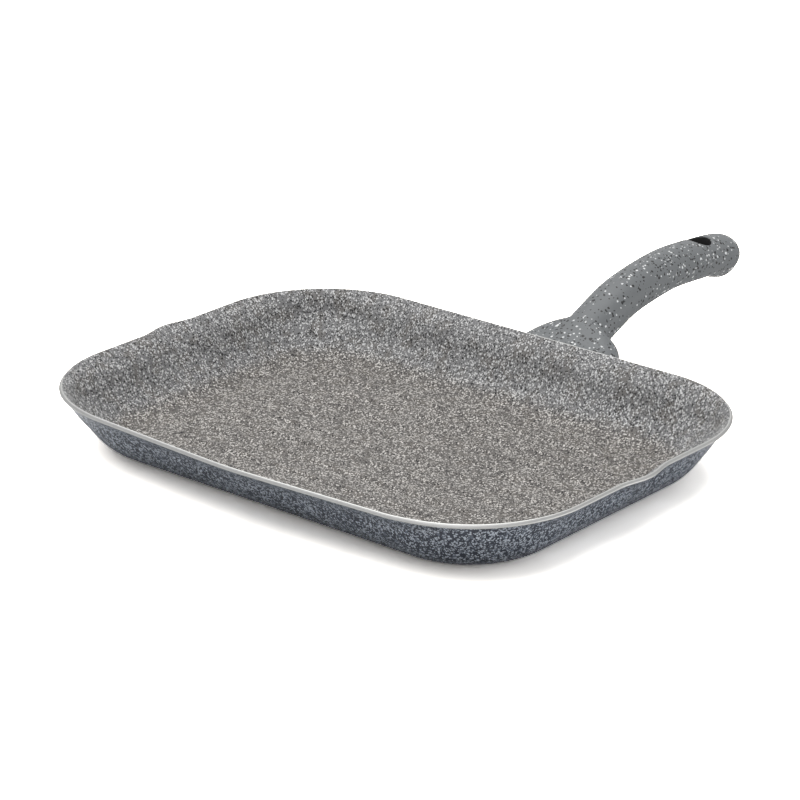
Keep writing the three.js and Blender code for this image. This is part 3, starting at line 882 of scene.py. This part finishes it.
head_radius = screw_high.x
head_top = screw_low.z + HEAD_HEIGHT
thread_radius = SCREW_RADIUS - THREAD_DEPTH
screw_outline = [(head_radius * out, screw_low.z + HEAD_HEIGHT * up) for out, up in HEAD_ROUND]
screw_outline.append((SCREW_RADIUS, head_top))
thread_count = int((screw_high.z - head_top) / THREAD_PITCH)
for thread in range(thread_count):
    root = head_top + thread * THREAD_PITCH
    screw_outline.append((thread_radius, root + THREAD_PITCH * THREAD_FOOT))
    screw_outline.append((SCREW_RADIUS, root + THREAD_PITCH * THREAD_CREST))
screw_outline += [(thread_radius, screw_high.z), (0, screw_high.z)]
recess = [
    block(
        (-across / 2, screw_y - along / 2, screw_low.z - MM),
        (across / 2, screw_y + along / 2, screw_low.z + RECESS_DEPTH),
        finish=0,
    )
    for across, along in ((RECESS_LENGTH, RECESS_WIDTH), (RECESS_WIDTH, RECESS_LENGTH))
]
screw = finished_piece(
    "handle_screw_turned",
    carve(turned(screw_outline), recess),
    [bright_plate],
)
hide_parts("handle_screw")

washer_bore = SCREW_RADIUS + GAP
washer_outline = [
    (washer_bore, washer_low.z),
    (washer_high.x - WASHER_ROUND, washer_low.z),
    (washer_high.x, washer_low.z + WASHER_ROUND),
    (washer_high.x, washer_high.z - WASHER_ROUND),
    (washer_high.x - WASHER_ROUND, washer_high.z),
    (washer_bore, washer_high.z),
    (washer_bore, washer_low.z),
]
washer = finished_piece("handle_washer_turned", turned(washer_outline), [bright_plate])
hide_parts("handle_washer")


# Floor
# A plain white paper sweep under the pan, which takes its shadow. It is matt, and the camera and glossy
# surfaces see it paler than it lights the pan.
FLOOR_HALF = 6
FLOOR_TONE = (0.8, 0.8, 0.8, 1)
FLOOR_IN_GLOSS = (0.95, 0.95, 0.95, 1)
FLOOR_SEEN = (4.7, 4.5, 4.2, 1)
floor_shape = bmesh.new()
bmesh.ops.create_grid(floor_shape, x_segments=1, y_segments=1, size=FLOOR_HALF)
floor_mesh = bpy.data.meshes.new("floor")
floor_shape.to_mesh(floor_mesh)
floor_shape.free()
floor = bpy.data.objects.new("floor", floor_mesh)
bpy.context.scene.collection.objects.link(floor)
floor_finish, floor_tree, _, _ = new_material("white_sweep")
floor_path = add_node(floor_tree, "ShaderNodeLightPath").outputs
floor_tone = lay_over(floor_tree, floor_path["Is Glossy Ray"], FLOOR_TONE, FLOOR_IN_GLOSS)
floor_tone = lay_over(floor_tree, floor_path["Is Camera Ray"], floor_tone, FLOOR_SEEN)
floor_matt = add_node(floor_tree, "ShaderNodeBsdfDiffuse", {"Color": floor_tone})
floor_tree.links.new(floor_matt.outputs[0], floor_tree.nodes["Material Output"].inputs["Surface"])
floor_mesh.materials.append(floor_finish)


# Light
# A wide soft light overhead, a little to the left, and a low softbox on the right, as in a small studio.
# The room around them is an even white, which the camera and glossy surfaces see at full strength.
OVERHEAD_SPOT = (-0.17, -0.08, 1.26)
OVERHEAD_WIDTH = 2.0
OVERHEAD_WATTS = 19.5
SOFTBOX_SPOT = (1.69, 0.62, 0.05)
SOFTBOX_WIDTH = 1.4
SOFTBOX_HEIGHT = 0.1
SOFTBOX_WATTS = 7
ROOM_FILL = 0.25
lamp = bpy.data.lights.new("overhead", "AREA")
lamp.shape = "DISK"
lamp.size = OVERHEAD_WIDTH
lamp.energy = OVERHEAD_WATTS
overhead = bpy.data.objects.new("overhead", lamp)
overhead.location = OVERHEAD_SPOT
overhead.rotation_euler = overhead.location.to_track_quat("Z", "Y").to_euler()
bpy.context.scene.collection.objects.link(overhead)

softbox = bpy.data.lights.new("right_softbox", "AREA")
softbox.shape = "RECTANGLE"
softbox.size = SOFTBOX_WIDTH
softbox.size_y = SOFTBOX_HEIGHT
softbox.energy = SOFTBOX_WATTS
stand = bpy.data.objects.new("right_softbox", softbox)
stand.location = SOFTBOX_SPOT
level_back = Vector((SOFTBOX_SPOT[0], SOFTBOX_SPOT[1], 0))
stand.rotation_euler = level_back.to_track_quat("Z", "Y").to_euler()
bpy.context.scene.collection.objects.link(stand)

room = bpy.data.worlds.new("room")
bpy.context.scene.world = room
room.use_nodes = True
path = add_node(room.node_tree, "ShaderNodeLightPath").outputs
direct = reckon(room.node_tree, "MAXIMUM", path["Is Camera Ray"], path["Is Glossy Ray"])
direct = reckon(room.node_tree, "MAXIMUM", direct, path["Is Transmission Ray"])
strength = ramp(room.node_tree, direct, start=0.0, end=1.0, low=ROOM_FILL, high=1.0)
background = room.node_tree.nodes["Background"]
background.inputs["Color"].default_value = (1, 1, 1, 1)
room.node_tree.links.new(strength, background.inputs["Strength"])


# Camera
# A long lens from the front right, a little above, aimed at the middle of the pan just under its rim.
# The small shift puts the pan where the photograph's frame has it.
AZIMUTH = math.radians(40.311)
ELEVATION = math.radians(21.202)
DISTANCE = 1.84428
AIM_DROP = 2.733 * MM
FOCAL_LENGTH = 144.857
SENSOR_WIDTH = 36
SHIFT = (0.0100, -0.0009)
lens = bpy.data.cameras.new("camera")
lens.sensor_width = SENSOR_WIDTH
lens.lens = FOCAL_LENGTH
lens.shift_x, lens.shift_y = SHIFT
camera = bpy.data.objects.new("camera", lens)
bpy.context.scene.collection.objects.link(camera)
bpy.context.scene.camera = camera
aim = Vector((0, 0, rim_top - AIM_DROP))
level = math.cos(ELEVATION)
back = Vector((math.sin(AZIMUTH) * level, -math.cos(AZIMUTH) * level, math.sin(ELEVATION)))
camera.location = aim + back * DISTANCE
camera.rotation_euler = back.to_track_quat("Z", "Y").to_euler()
bpy.context.scene.view_settings.view_transform = "Standard"
